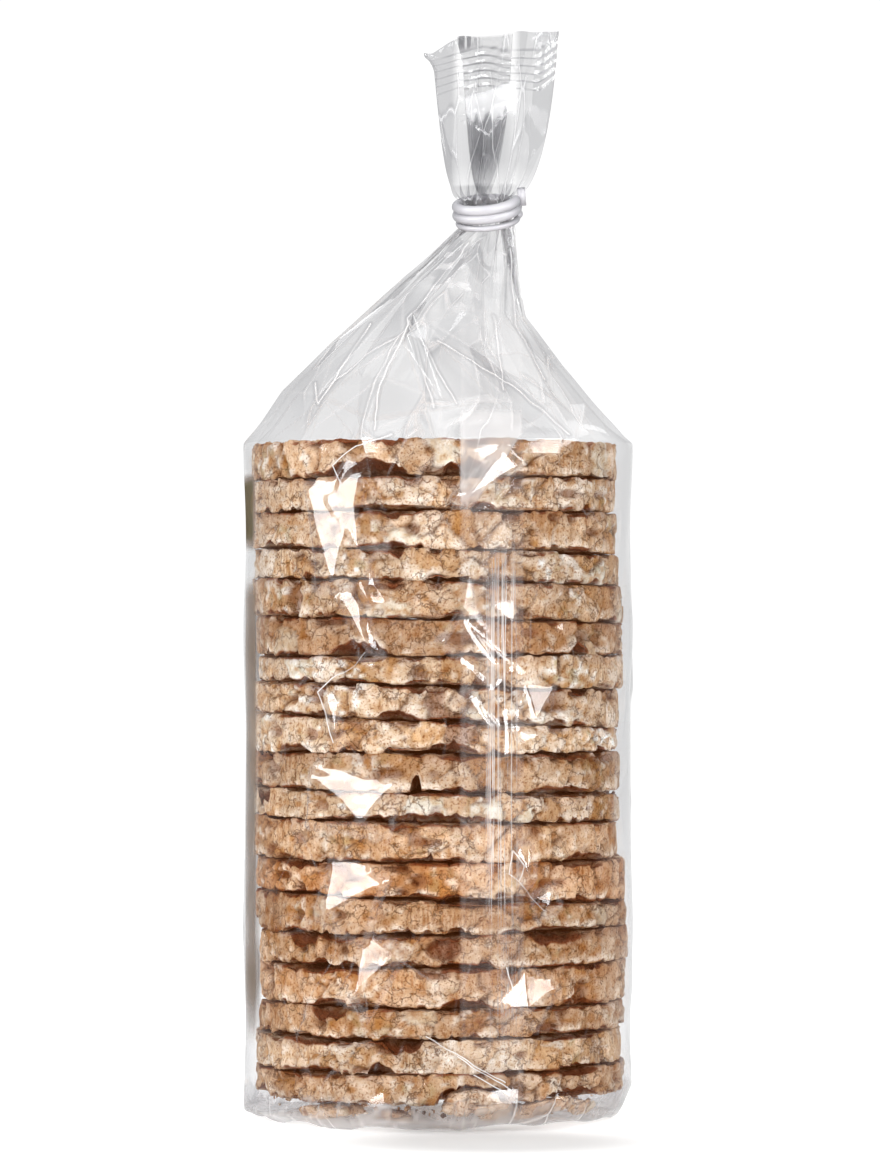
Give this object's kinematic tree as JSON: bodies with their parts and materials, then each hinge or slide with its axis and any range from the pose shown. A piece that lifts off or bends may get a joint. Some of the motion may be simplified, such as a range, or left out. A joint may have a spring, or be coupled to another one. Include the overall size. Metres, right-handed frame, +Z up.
{
  "type": "bag of buckwheat cakes",
  "caption": "Upright clear film bag of stacked round puffed buckwheat cakes, gathered to a leaning neck with a white wound tie and a crimped, pleated tail.",
  "frame": {"origin": "middle of the bag's base, on the surface that it stands on", "axes": "+Z up along the stack; -Y is the front, with the lengthwise seam; the neck is towards +X"},
  "size_m": [0.097, 0.094, 0.272],
  "materials": {
    "film": "clear glossy packing film, thin and stiff, creased",
    "tie_coating": "white plastic coating, satin",
    "puffed_cake": "dry puffed buckwheat, matt, tan with cream husks and brown gaps"
  },
  "bodies": {
    "root": {"bag": "film", "tie": "tie_coating"}
  },
  "joints": []
}
